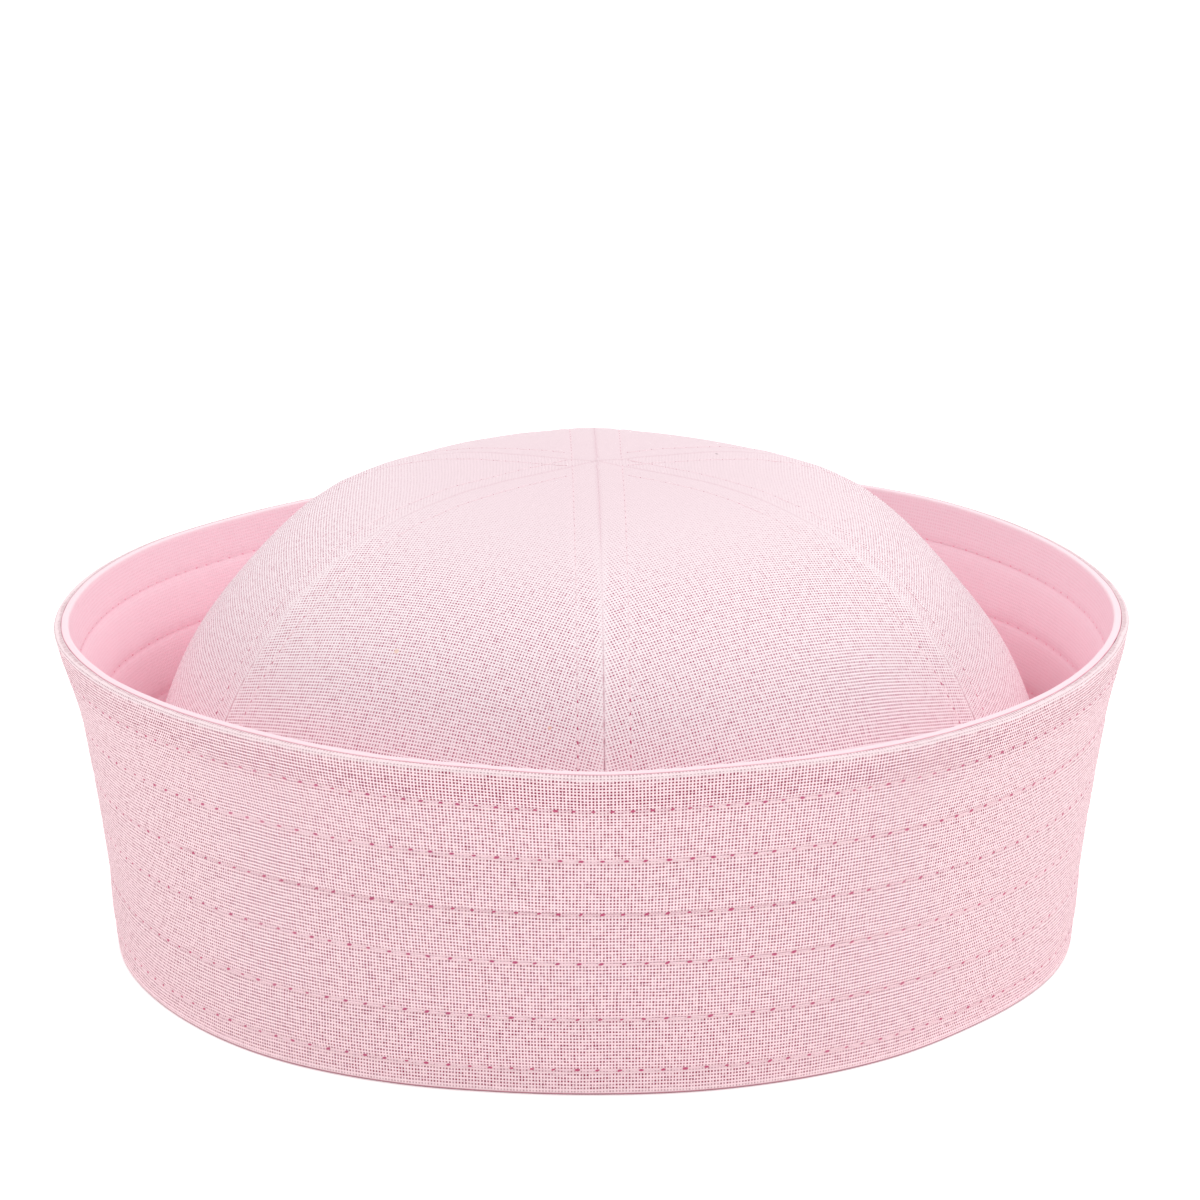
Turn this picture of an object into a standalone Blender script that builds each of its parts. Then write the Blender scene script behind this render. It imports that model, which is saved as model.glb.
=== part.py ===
"""A sailor cap of woven cotton: a crown of six gores inside a tall turned-up brim of two plies.

Metres, +Z up. The cap stands on its foot at z = 0 with its front towards -Y, and the middle of its
bounding box lies over the origin. Azimuths are in degrees: 0 is +X, on the cap's left as it is
worn, 90 is the back and 270 the front.
"""
import math

import bmesh
import bpy
from mathutils import Vector
from mathutils.geometry import interpolate_bezier

# Sizes of the cap.
HEAD_WIDTH = 0.182  # across the inside of the crown's foot: a head of 572 mm round
CROWN_HEIGHT = 0.0975  # foot to apex, outside
CROWN_CLOTH = 0.0011  # wall of the crown
BRIM_HEIGHT = 0.0666  # foot to the fold of the rim
BRIM_SPREAD = 0.0102  # how much further out the rim stands than the foot
BRIM_CLOTH = 0.0014  # wall of one ply of the brim
GORE_COUNT = 6
GORE_SAG = 0.003  # how far the flat middle of a gore lies inside its seams
TIP_RADIUS = 0.0016  # where the gores end round the apex

# Clearances between pieces that are sewn together.
SEAM_GAP = 0.0003
PLY_GAP = 0.0003
FOOT_GAP = 0.0005  # crown to brim at the foot

# Fineness of the meshes.
GORE_COLUMNS = 8
GORE_ROWS = 14
BRIM_SIDES = 72
BRIM_ROWS = 10
FOLD_STEPS = 5
CURVE_STEPS = 12  # points to each stretch of a smooth line

# The crown's outer face along a seam. Shares of CROWN_HEIGHT, of the crown's radius at the foot,
# and of GORE_SAG: how much of the sag the gores have at that height.
CROWN_SECTIONS = (
    # height, reach, sag
    (0.00, 1.000, 0.00),
    (0.10, 1.000, 0.00),
    (0.20, 0.997, 0.02),
    (0.30, 0.986, 0.05),
    (0.40, 0.966, 0.10),
    (0.50, 0.938, 0.20),
    (0.60, 0.898, 0.45),
    (0.70, 0.838, 0.85),
    (0.80, 0.748, 1.00),
    (0.88, 0.632, 0.80),
    (0.94, 0.487, 0.50),
    (0.98, 0.300, 0.20),
    (1.00, 0.000, 0.00),
)

# The brim's outer face. Shares of BRIM_HEIGHT and of BRIM_SPREAD.
BRIM_SECTIONS = (
    # height, reach
    (0.00, 0.000),
    (0.12, 0.095),
    (0.27, 0.160),
    (0.44, 0.293),
    (0.62, 0.454),
    (0.80, 0.652),
    (0.92, 0.879),
    (1.00, 1.000),
)

# How the hand-sewn ring departs from a true circle. Shares of BRIM_HEIGHT for the rim's lift, and
# of BRIM_SPREAD for how far the rim and the foot stand out.
WAVES = (
    # azimuth, rim lift, rim reach, foot reach
    (10, 0.006, -0.06, 0.00),
    (30, 0.005, 0.00, 0.02),
    (52, 0.015, 0.00, 0.05),
    (90, 0.000, 0.00, 0.00),
    (135, -0.021, 0.00, 0.00),
    (155, -0.011, 0.03, 0.02),
    (170, -0.004, 0.06, 0.03),
    (190, -0.006, 0.15, 0.03),
    (205, -0.008, 0.06, 0.04),
    (214, -0.002, 0.00, 0.08),
    (231, 0.008, 0.00, 0.17),
    (247, 0.003, 0.00, 0.08),
    (258, 0.000, 0.00, -0.05),
    (270, -0.009, 0.00, -0.10),
    (284, 0.000, 0.00, -0.09),
    (305, 0.004, 0.00, -0.18),
    (322, 0.010, 0.00, -0.30),
    (345, 0.004, -0.10, -0.12),
)

# Shallow hollows where the crown's cloth gives way. Shares of CROWN_HEIGHT for the height, the
# half height and the depth.
HOLLOWS = (
    # azimuth, height, half width in degrees, half height, depth
    (16, 0.72, 12, 0.10, 0.004),
    (118, 0.72, 14, 0.10, 0.003),
    (184, 0.52, 15, 0.11, 0.003),
    (252, 0.66, 13, 0.10, 0.003),
)

# Colours as the photograph shows them, sRGB.
CROWN_PINK = (244, 221, 227)
BRIM_PINK = (233, 198, 206)
INNER_PINK = (246, 194, 207)
CLOTH_ROUGHNESS = 0.9

FRONT = 271.0  # azimuth of the front seam
CROWN_FOOT = HEAD_WIDTH / 2 + CROWN_CLOTH
BRIM_FOOT = CROWN_FOOT + FOOT_GAP + 2 * BRIM_CLOTH + PLY_GAP
GORE_ANGLE = math.tau / GORE_COUNT


def smooth_line(points):
    """A smooth line through points, as a list of many points along it."""
    ends = [points[0] * 2 - points[1], *points, points[-1] * 2 - points[-2]]
    line = []
    for before, start, stop, after in zip(ends, ends[1:], ends[2:], ends[3:]):
        reach = (stop - start).length / 3
        out_handle = start + (stop - before).normalized() * reach
        in_handle = stop - (after - start).normalized() * reach
        line += interpolate_bezier(start, out_handle, in_handle, stop, CURVE_STEPS)[:-1]
    return line + [points[-1]]


def spaced(line, count):
    """Count + 1 points along a line, the same length apart."""
    travelled = [0.0]
    for start, stop in zip(line, line[1:]):
        travelled.append(travelled[-1] + (stop - start).length)
    return [along(line, travelled, travelled[-1] * step / count) for step in range(count + 1)]


def along(line, travelled, distance):
    """The point of a line at a distance from its start."""
    for index in range(1, len(line)):
        if distance <= travelled[index] or index == len(line) - 1:
            share = (distance - travelled[index - 1]) / (travelled[index] - travelled[index - 1])
            return line[index - 1].lerp(line[index], min(share, 1.0))


def inward(line, depth):
    """A line moved in by a depth, square to itself, with its foot kept on the ground."""
    moved = []
    for index, point in enumerate(line):
        before = line[max(index - 1, 0)]
        after = line[min(index + 1, len(line) - 1)]
        rise = (after - before).normalized()
        side = Vector((-rise.y, rise.x)) if index else Vector((-1.0, 0.0))
        moved.append(point + side * depth)
    return moved


def between_rows(rows, place, column):
    """A column of a table at a place in its first column, eased smoothly from row to row."""
    for index in range(1, len(rows)):
        if place <= rows[index][0] or index == len(rows) - 1:
            first, last = rows[index - 1], rows[index]
            before, after = rows[max(index - 2, 0)], rows[min(index + 1, len(rows) - 1)]
            span = last[0] - first[0]
            share = min(max((place - first[0]) / span, 0.0), 1.0)
            slope_in = (last[column] - before[column]) / (last[0] - before[0]) * span
            slope_out = (after[column] - first[column]) / (after[0] - first[0]) * span
            return (
                first[column] * (1 + 2 * share) * (1 - share) ** 2
                + slope_in * share * (1 - share) ** 2
                + last[column] * (3 - 2 * share) * share**2
                - slope_out * (1 - share) * share**2
            )


def wave(azimuth, column):
    """A column of WAVES at an azimuth in degrees, all the way round."""
    turn = 360.0
    before = [(row[0] - turn, *row[1:]) for row in WAVES]
    after = [(row[0] + turn, *row[1:]) for row in WAVES]
    return between_rows([*before, *WAVES, *after], azimuth % turn, column)


def foot_push(azimuth, height):
    """How far the ring stands out at a height because its foot isn't round."""
    share = min(height / BRIM_HEIGHT, 1.0)
    return wave(azimuth, 3) * BRIM_SPREAD * (1 - share) ** 2


def placed(azimuth, reach, height):
    """The point at an azimuth in degrees, a distance from the cap's axis and a height."""
    angle = math.radians(azimuth)
    return Vector((reach * math.cos(angle), reach * math.sin(angle), height))


def crown_lines():
    """The outer and the inner profile of the crown along a seam, from the foot to the tip."""
    corners = [Vector((reach * CROWN_FOOT, height * CROWN_HEIGHT)) for height, reach, _ in CROWN_SECTIONS]
    corners[-1] = Vector((TIP_RADIUS, CROWN_HEIGHT))
    outer = spaced(smooth_line(corners), GORE_ROWS)
    return outer, inward(outer, CROWN_CLOTH)


def hollow_depth(azimuth, share):
    """How deep the shallow hollows lie at a place on the crown, as a share of its height."""
    depth = 0.0
    for middle, height, half_width, half_height, deepest in HOLLOWS:
        turn = (azimuth - middle + 180.0) % 360.0 - 180.0
        away = (turn / half_width) ** 2 + ((share - height) / half_height) ** 2
        depth += deepest * math.exp(-away)
    return depth


def gore_point(middle, across, point):
    """Where a point of the profile lies, across -1 to 1 from one seam of a gore to the other."""
    reach, height = point
    share = height / CROWN_HEIGHT
    side = math.degrees(GORE_ANGLE / 2 - math.asin(SEAM_GAP / 2 / reach))
    azimuth = middle + across * side
    reach -= GORE_SAG * between_rows(CROWN_SECTIONS, share, 2) * (1 - across**2)
    shrink = 1 - hollow_depth(azimuth, share)
    return placed(azimuth, reach * shrink + foot_push(azimuth, height), height * shrink)


def gore_mesh(middle):
    """One gore of the crown: a flat slab of squares, bent onto both faces of the cloth."""
    outer, inner = crown_lines()
    mesh = bmesh.new()
    bmesh.ops.create_grid(mesh, x_segments=GORE_COLUMNS, y_segments=GORE_ROWS, size=1)
    raised = bmesh.ops.extrude_face_region(mesh, geom=mesh.faces[:])
    top = [item for item in raised["geom"] if isinstance(item, bmesh.types.BMVert)]
    bmesh.ops.translate(mesh, verts=top, vec=(0, 0, 1))
    for corner in mesh.verts:
        row = round((corner.co.y + 1) / 2 * GORE_ROWS)
        line = outer if corner.co.z > 0.5 else inner
        corner.co = gore_point(middle, corner.co.x, line[row])
    return mesh


def ply_section(depth):
    """The outline of one ply of the brim, whose outer face lies a depth in from the brim's."""
    top = BRIM_HEIGHT - BRIM_CLOTH / 2
    corners = [Vector((BRIM_FOOT + reach * BRIM_SPREAD, height * top)) for height, reach in BRIM_SECTIONS]
    face = spaced(smooth_line(corners), BRIM_ROWS)
    outer = inward(face, depth)
    inner = inward(face, depth + BRIM_CLOTH)
    centre = (outer[-1] + inner[-1]) / 2
    arm = outer[-1] - centre
    up = Vector((-arm.y, arm.x))
    turns = [math.pi * step / FOLD_STEPS for step in range(1, FOLD_STEPS)]
    fold = [centre + arm * math.cos(turn) + up * math.sin(turn) for turn in turns]
    return [*outer, *fold, *reversed(inner)]


def ply_mesh(depth):
    """One ply of the brim: its outline spun round the axis, then eased off the true circle."""
    mesh = bmesh.new()
    corners = [mesh.verts.new((reach, 0, height)) for reach, height in ply_section(depth)]
    edges = [mesh.edges.new(pair) for pair in zip(corners, corners[1:] + corners[:1])]
    bmesh.ops.spin(
        mesh, geom=corners + edges, axis=(0, 0, 1), angle=math.tau, steps=BRIM_SIDES, use_merge=True
    )
    for corner in mesh.verts:
        azimuth = math.degrees(math.atan2(corner.co.y, corner.co.x)) % 360.0
        reach, height = corner.co.xy.length, corner.co.z
        share = height / BRIM_HEIGHT
        reach += wave(azimuth, 2) * BRIM_SPREAD * share**2 + foot_push(azimuth, height)
        corner.co = placed(azimuth, reach, height * (1 + wave(azimuth, 1) * share))
    return mesh


def cotton(name, colour):
    """A dull woven cotton of an sRGB colour."""
    material = bpy.data.materials.new(name)
    material.use_nodes = True
    shader = material.node_tree.nodes["Principled BSDF"]
    linear = [((part / 255 + 0.055) / 1.055) ** 2.4 for part in colour]
    shader.inputs["Base Color"].default_value = (*linear, 1.0)
    shader.inputs["Roughness"].default_value = CLOTH_ROUGHNESS
    shader.inputs["Metallic"].default_value = 0.0
    return material


def add_piece(name, mesh, material, parent):
    """Makes an object of a finished mesh."""
    bmesh.ops.recalc_face_normals(mesh, faces=mesh.faces)
    data = bpy.data.meshes.new(name)
    mesh.to_mesh(data)
    mesh.free()
    data.materials.append(material)
    data.shade_smooth()
    data.set_sharp_from_angle(angle=math.radians(50))
    piece = bpy.data.objects.new(name, data)
    piece.parent = parent
    bpy.context.scene.collection.objects.link(piece)
    return piece


def middle_of(piece):
    """The middle of a piece's width and depth."""
    corners = [corner.co for corner in piece.data.vertices]
    lowest = Vector([min(corner[axis] for corner in corners) for axis in range(2)])
    highest = Vector([max(corner[axis] for corner in corners) for axis in range(2)])
    return (lowest + highest) / 2


def main():
    """Builds the cap."""
    for item in list(bpy.data.objects):
        bpy.data.objects.remove(item)
    cap = bpy.data.objects.new("sailor_cap", None)
    bpy.context.scene.collection.objects.link(cap)
    for index in range(GORE_COUNT):
        name = f"gore_{index + 1}"
        middle = FRONT + math.degrees(GORE_ANGLE) * (index + 0.5)
        add_piece(name, gore_mesh(middle), cotton(f"{name} cotton", CROWN_PINK), cap)
    outer = add_piece("brim_outer", ply_mesh(0.0), cotton("brim_outer cotton", BRIM_PINK), cap)
    inner_depth = BRIM_CLOTH + PLY_GAP
    add_piece("brim_inner", ply_mesh(inner_depth), cotton("brim_inner cotton", INNER_PINK), cap)
    middle = middle_of(outer)
    cap.location = (-middle.x, -middle.y, 0.0)


main()
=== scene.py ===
"""The looks of a sailor cap of woven cotton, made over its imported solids.

Six gores are sewn into the crown, and a tall brim of two plies is turned up round it. Every ply is
a sheet of cloth that is built again here where its solid is, with its seams, its rows of stitching,
its puckers and its weave. Metres, +Z up, the front of the cap towards -Y. Azimuths are in degrees:
0 is +X, 90 the back and 270 the front.
"""
import logging
import math
from dataclasses import dataclass, field
from enum import Enum
from typing import Any

import bpy
import numpy as np
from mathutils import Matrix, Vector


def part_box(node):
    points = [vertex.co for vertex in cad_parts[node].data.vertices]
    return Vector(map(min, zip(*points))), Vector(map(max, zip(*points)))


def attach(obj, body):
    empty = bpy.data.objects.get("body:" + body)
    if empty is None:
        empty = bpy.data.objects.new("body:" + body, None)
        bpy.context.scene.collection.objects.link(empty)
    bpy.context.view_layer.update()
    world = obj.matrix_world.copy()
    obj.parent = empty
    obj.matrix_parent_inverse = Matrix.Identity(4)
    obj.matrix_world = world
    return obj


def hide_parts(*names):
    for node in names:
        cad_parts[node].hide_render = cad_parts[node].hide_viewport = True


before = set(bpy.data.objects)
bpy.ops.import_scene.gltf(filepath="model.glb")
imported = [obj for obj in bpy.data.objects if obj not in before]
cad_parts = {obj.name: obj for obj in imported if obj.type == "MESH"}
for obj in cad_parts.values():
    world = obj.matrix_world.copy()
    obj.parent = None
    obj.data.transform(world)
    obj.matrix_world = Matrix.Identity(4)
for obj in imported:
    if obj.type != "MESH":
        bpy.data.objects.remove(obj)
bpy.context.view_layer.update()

LOG = logging.getLogger("sailor_cap")
MM = 0.001
TURN = 360.0
CLOTH_MAP = "cloth"
OPENNESS = "openness"  # how far apart the threads lie: 1 in flat cloth, less where it is bent or packed
PAINTED_SHADE = "painted_shade"  # how much painted shade lies on the cloth, 0 to 1: in seams, creases, stitch rows and along the foot's edge, and a little over the crown's top and the rim's fold
PALE_HIGHLIGHT = "pale_highlight"  # how much painted highlight pales the cloth, 0 to 1: on the rim's folds and beside the crown's seams, and a little along the brim's foot


class Ply(Enum):
    """The two plies of the brim, each with the side of it that shows."""

    OUTER = "brim_outer"
    INNER = "brim_inner"

    @property
    def sign(self) -> int:
        """1 where the showing side faces away from the cap's axis, -1 where it faces the axis."""
        return 1 if self is Ply.OUTER else -1


class Holding(Enum):
    """How a sheet of cloth is held."""

    STRETCHED = "stretched"
    FOLDED = "folded"


# The crown's outer face along a seam. Shares of the crown's height, of its radius at the foot, and
# of the sag that the middle of a gore has at that height.
CROWN_SECTIONS = np.array([
    # height, reach, sag
    (0.00, 1.000, 0.00),
    (0.10, 1.000, 0.00),
    (0.20, 0.997, 0.02),
    (0.30, 0.986, 0.05),
    (0.40, 0.966, 0.10),
    (0.50, 0.938, 0.20),
    (0.60, 0.898, 0.45),
    (0.70, 0.838, 0.85),
    (0.80, 0.748, 1.00),
    (0.88, 0.632, 0.80),
    (0.94, 0.487, 0.50),
    (0.98, 0.300, 0.20),
    (1.00, 0.000, 0.00),
])

# The brim's outer face. Shares of the brim's height and of its spread.
BRIM_SECTIONS = np.array([
    # height, reach
    (0.00, 0.000),
    (0.12, 0.095),
    (0.27, 0.160),
    (0.44, 0.293),
    (0.62, 0.454),
    (0.80, 0.652),
    (0.92, 0.879),
    (1.00, 1.000),
])

# How the hand-sewn ring departs from a true circle. Shares of the brim's height for the rim's lift,
# and of its spread for how far the rim and the foot stand out.
WAVES = np.array([
    # azimuth, rim lift, rim reach, foot reach
    (10, 0.006, -0.06, 0.00),
    (30, 0.005, 0.00, 0.02),
    (52, 0.015, 0.00, 0.05),
    (90, 0.000, 0.00, 0.00),
    (135, -0.021, 0.00, 0.00),
    (155, -0.011, 0.03, 0.02),
    (170, -0.004, 0.06, 0.03),
    (190, -0.006, 0.15, 0.03),
    (205, -0.008, 0.06, 0.04),
    (214, -0.002, 0.00, 0.08),
    (231, 0.008, 0.00, 0.17),
    (247, 0.003, 0.00, 0.08),
    (258, 0.000, 0.00, -0.05),
    (270, -0.009, 0.00, -0.10),
    (284, 0.000, 0.00, -0.09),
    (305, 0.004, 0.00, -0.18),
    (322, 0.010, 0.00, -0.30),
    (345, 0.004, -0.10, -0.12),
])
WAVES_ROUND = np.vstack([WAVES - (TURN, 0, 0, 0), WAVES, WAVES + (TURN, 0, 0, 0)])

# Shallow hollows where the crown's cloth gives way. Shares of the crown's height.
HOLLOWS = (
    # azimuth, height, half width in degrees, half height, depth
    (16, 0.72, 12, 0.10, 0.004),
    (118, 0.72, 14, 0.10, 0.003),
    (184, 0.52, 15, 0.11, 0.003),
    (252, 0.66, 13, 0.10, 0.003),
)


def eased(rows: np.ndarray, place: np.ndarray, column: int) -> np.ndarray:
    """Reads a column of a table at places in its first column, eased smoothly from row to row.

    Args:
        rows: The table, its first column rising.
        place: Where to read it.
        column: Which column to read.

    Returns:
        The eased values, one for each place.
    """
    keys, values = rows[:, 0], rows[:, column]
    last = np.clip(np.searchsorted(keys, place), 1, len(keys) - 1)
    first = last - 1
    before, after = np.maximum(first - 1, 0), np.minimum(last + 1, len(keys) - 1)
    span = keys[last] - keys[first]
    share = np.clip((place - keys[first]) / span, 0.0, 1.0)
    slope_in = (values[last] - values[before]) / (keys[last] - keys[before]) * span
    slope_out = (values[after] - values[first]) / (keys[after] - keys[first]) * span
    rest = 1 - share
    return (
        values[first] * (1 + 2 * share) * rest**2
        + slope_in * share * rest**2
        + values[last] * (3 - 2 * share) * share**2
        - slope_out * rest * share**2
    )


def smooth_line(corners: np.ndarray, steps: int = 40) -> np.ndarray:
    """Draws a smooth line through corners.

    Args:
        corners: Points in a plane, one a row.
        steps: How many points each stretch gets.

    Returns:
        Many points along the line.
    """
    ends = np.vstack([2 * corners[0] - corners[1], corners, 2 * corners[-1] - corners[-2]])
    share = np.linspace(0.0, 1.0, steps, endpoint=False)[:, None]
    stretches = []
    for before, start, stop, after in zip(ends, ends[1:], ends[2:], ends[3:]):
        reach = np.linalg.norm(stop - start) / 3
        leave = start + (stop - before) / np.linalg.norm(stop - before) * reach
        arrive = stop - (after - start) / np.linalg.norm(after - start) * reach
        stretches.append(
            start * (1 - share) ** 3
            + leave * 3 * share * (1 - share) ** 2
            + arrive * 3 * share**2 * (1 - share)
            + stop * share**3
        )
    return np.vstack([*stretches, corners[-1:]])


def travel_along(line: np.ndarray) -> np.ndarray:
    """The distance from a line's start to each of its points."""
    return np.concatenate([[0.0], np.cumsum(np.linalg.norm(np.diff(line, axis=0), axis=1))])


def placed(azimuth: np.ndarray, reach: np.ndarray, height: np.ndarray) -> np.ndarray:
    """Turns places round the cap's axis into points.

    Args:
        azimuth: Azimuths in degrees.
        reach: Distances from the axis.
        height: Heights.

    Returns:
        The points.
    """
    angle = np.radians(azimuth)
    parts = np.broadcast_arrays(reach * np.cos(angle), reach * np.sin(angle), height)
    return np.stack(parts, axis=-1)


def bell(distance: np.ndarray, width: float) -> np.ndarray:
    """A smooth bump of height 1 that fades over a width to each side."""
    return np.exp(-((distance / width) ** 2))


def step_down(distance: np.ndarray, start: float, stop: float) -> np.ndarray:
    """1 up to a start, 0 beyond a stop and smooth between them."""
    share = np.clip((distance - start) / (stop - start), 0.0, 1.0)
    return 1 - share * share * (3 - 2 * share)


def ripple(place: np.ndarray, seed: int, lengths: tuple[float, float], count: int = 14) -> np.ndarray:
    """A gentle, irregular swell over places, from many crossing waves.

    Args:
        place: Places in metres, one a row.
        seed: Which swell it is.
        lengths: The shortest and the longest wave in metres.
        count: How many waves cross.

    Returns:
        Values of about -1 to 1.
    """
    random = np.random.default_rng(seed)
    total = np.zeros(place.shape[:-1])
    for _ in range(count):
        heading = random.normal(size=place.shape[-1])
        heading /= np.linalg.norm(heading)
        length = random.uniform(*lengths)
        total += np.sin(place @ heading * math.tau / length + random.uniform(0, math.tau))
    return total / math.sqrt(count)


def unit(directions: np.ndarray) -> np.ndarray:
    """Directions brought to a length of one."""
    return directions / np.maximum(np.linalg.norm(directions, axis=-1, keepdims=True), 1e-12)


def read_line(place: np.ndarray, along: np.ndarray, line: np.ndarray) -> np.ndarray:
    """The points of a line at some distances, where its own points' distances are given."""
    return np.stack([np.interp(place, along, line[:, axis]) for axis in range(line.shape[1])], axis=-1)


def sheet_facing(points: np.ndarray) -> np.ndarray:
    """The direction that each point of a sheet faces, its rows running upward."""
    return unit(np.cross(np.gradient(points, axis=1), np.gradient(points, axis=0)))


def linear(hex_colour: str) -> tuple[float, float, float, float]:
    """Turns an sRGB hex colour to linear RGBA.

    Args:
        hex_colour: Six hex digits.

    Returns:
        Red, green and blue as light, and an alpha of 1.
    """
    parts = [int(hex_colour[index : index + 2], 16) / 255 for index in (0, 2, 4)]
    light = [part / 12.92 if part <= 0.04045 else ((part + 0.055) / 1.055) ** 2.4 for part in parts]
    return (*light, 1.0)


def add_node(tree: Any, kind: str, settings: dict[str, Any], inputs: dict[Any, Any]) -> Any:
    """Adds a node with its settings and links.

    Args:
        tree: The node tree it goes in.
        kind: The node's type.
        settings: Its attributes by name.
        inputs: Its inputs by name or number: a socket to link from, or a value.

    Returns:
        The node.
    """
    node = tree.nodes.new(kind)
    for name, value in settings.items():
        setattr(node, name, value)
    for name, value in inputs.items():
        if isinstance(value, bpy.types.NodeSocket):
            tree.links.new(value, node.inputs[name])
        else:
            node.inputs[name].default_value = value
    return node


@dataclass(frozen=True)
class Fleck:
    """A spot on the cloth, from a bit of husk or lint."""

    place: tuple[float, float, float]
    radius: float
    colour: str


@dataclass(frozen=True)
class WovenCotton:
    """Plain-woven cotton, a little open: round pale threads with small dark holes between them.

    To the eye it is quite matt. Each thread is a pale rounded bar, every hole a deep pink dot, and
    the fine fuzz on the threads makes the cloth paler where it is seen edge on.
    """

    name: str
    thread: str
    shade: str
    warp: float  # from thread to thread across the cloth
    weft: float  # and along it
    hole: float = 1.0  # how dark the holes are
    highlighted: str = "fff4f6"  # the threads under a painted highlight
    relief: float = 0.00010  # how far a thread stands out
    flecks: tuple[Fleck, ...] = ()

    def weave(self, tree: Any) -> tuple[Any, Any]:
        """Draws the weave in a node tree.

        Args:
            tree: The material's node tree.

        Returns:
            The height of the threads, and a mottling from 0 to 1.
        """
        cloth = add_node(tree, "ShaderNodeUVMap", {"uv_map": CLOTH_MAP}, {}).outputs["UV"]
        # Threads wander by a fifth of a millimetre over 20 mm.
        drift = add_node(
            tree, "ShaderNodeTexNoise", {"noise_dimensions": "2D"},
            {"Vector": cloth, "Scale": 50.0, "Detail": 1.0},
        )
        wander = add_node(
            tree, "ShaderNodeVectorMath", {"operation": "MULTIPLY_ADD"},
            {0: drift.outputs["Color"], 1: (0.0004, 0.0004, 0.0), 2: cloth},
        )
        counted = add_node(
            tree, "ShaderNodeVectorMath", {"operation": "MULTIPLY"},
            {0: wander.outputs[0], 1: (1 / self.warp, 1 / self.weft, 0.0)},
        ).outputs[0]
        split = add_node(tree, "ShaderNodeSeparateXYZ", {}, {0: counted})
        heights = []
        for axis, along in (("X", (0.9, 0.30, 0.0)), ("Y", (0.30, 0.9, 0.0))):
            # Each thread swells and thins along its length, as spun cotton does.
            stretched = add_node(
                tree, "ShaderNodeVectorMath", {"operation": "MULTIPLY"}, {0: counted, 1: along}
            )
            slub = add_node(
                tree, "ShaderNodeTexNoise", {"noise_dimensions": "2D"},
                {"Vector": stretched.outputs[0], "Scale": 1.0, "Detail": 0.0},
            )
            away = add_node(
                tree, "ShaderNodeMath", {"operation": "PINGPONG"}, {0: split.outputs[axis], 1: 0.5}
            )
            # The thread is round: its height falls with the square of the way from its middle.
            squared = add_node(
                tree, "ShaderNodeMath", {"operation": "MULTIPLY"},
                {0: away.outputs[0], 1: away.outputs[0]},
            )
            fallen = add_node(
                tree, "ShaderNodeMath", {"operation": "MULTIPLY_ADD"},
                {0: squared.outputs[0], 1: -7.0, 2: 0.72},
            )
            height = add_node(
                tree, "ShaderNodeMath", {"operation": "MULTIPLY_ADD"},
                {0: slub.outputs["Fac"], 1: 0.55, 2: fallen.outputs[0]},
            )
            heights.append(height.outputs[0])
        # One thread goes over the next and under the one after it.
        half_turns = add_node(
            tree, "ShaderNodeVectorMath", {"operation": "SCALE"}, {0: counted, "Scale": math.pi}
        )
        bent = add_node(tree, "ShaderNodeVectorMath", {"operation": "COSINE"}, {0: half_turns.outputs[0]})
        parts = add_node(tree, "ShaderNodeSeparateXYZ", {}, {0: bent.outputs[0]})
        crossing = add_node(
            tree, "ShaderNodeMath", {"operation": "MULTIPLY"},
            {0: parts.outputs["X"], 1: parts.outputs["Y"]},
        )
        over = [
            add_node(
                tree, "ShaderNodeMath", {"operation": "MULTIPLY_ADD"},
                {0: crossing.outputs[0], 1: lift, 2: height},
            ).outputs[0]
            for lift, height in zip((0.22, -0.22), heights)
        ]
        top = add_node(tree, "ShaderNodeMath", {"operation": "MAXIMUM"}, {0: over[0], 1: over[1]})
        # From one millimetre to the next the holes are a little darker or paler.
        mottle = add_node(
            tree, "ShaderNodeTexNoise", {"noise_dimensions": "2D"},
            {"Vector": cloth, "Scale": 1100.0, "Detail": 0.0},
        )
        return top.outputs[0], mottle.outputs["Fac"]

    def build(self) -> bpy.types.Material:
        """Makes the material.

        Returns:
            The finished material.
        """
        material = bpy.data.materials.new(self.name)
        material.use_nodes = True
        tree = material.node_tree
        shader = tree.nodes["Principled BSDF"]
        height, mottle = self.weave(tree)
        # Between the threads the eye sees down to the shaded cloth.
        open_share = add_node(
            tree, "ShaderNodeMapRange", {"interpolation_type": "SMOOTHSTEP"},
            {"Value": height, "From Min": 0.92, "From Max": 0.22, "To Min": 0.0, "To Max": self.hole},
        )
        uneven = add_node(
            tree, "ShaderNodeMapRange", {},
            {"Value": mottle, "From Min": 0.25, "From Max": 0.75, "To Min": 0.66, "To Max": 1.24},
        )
        patchy = add_node(
            tree, "ShaderNodeMath", {"operation": "MULTIPLY"},
            {0: open_share.outputs[0], 1: uneven.outputs[0]},
        )
        openness = add_node(tree, "ShaderNodeAttribute", {"attribute_name": OPENNESS}, {}).outputs["Fac"]
        holes = add_node(
            tree, "ShaderNodeMath", {"operation": "MULTIPLY", "use_clamp": True},
            {0: patchy.outputs[0], 1: openness},
        )
        # Painted shade darkens the cloth toward the shade colour in seams, creases, stitch rows and at the
        # foot.
        painted_shade = add_node(tree, "ShaderNodeAttribute", {"attribute_name": PAINTED_SHADE}, {}).outputs["Fac"]
        depth = add_node(
            tree, "ShaderNodeMath", {"operation": "MAXIMUM"}, {0: holes.outputs[0], 1: painted_shade}
        )
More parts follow.
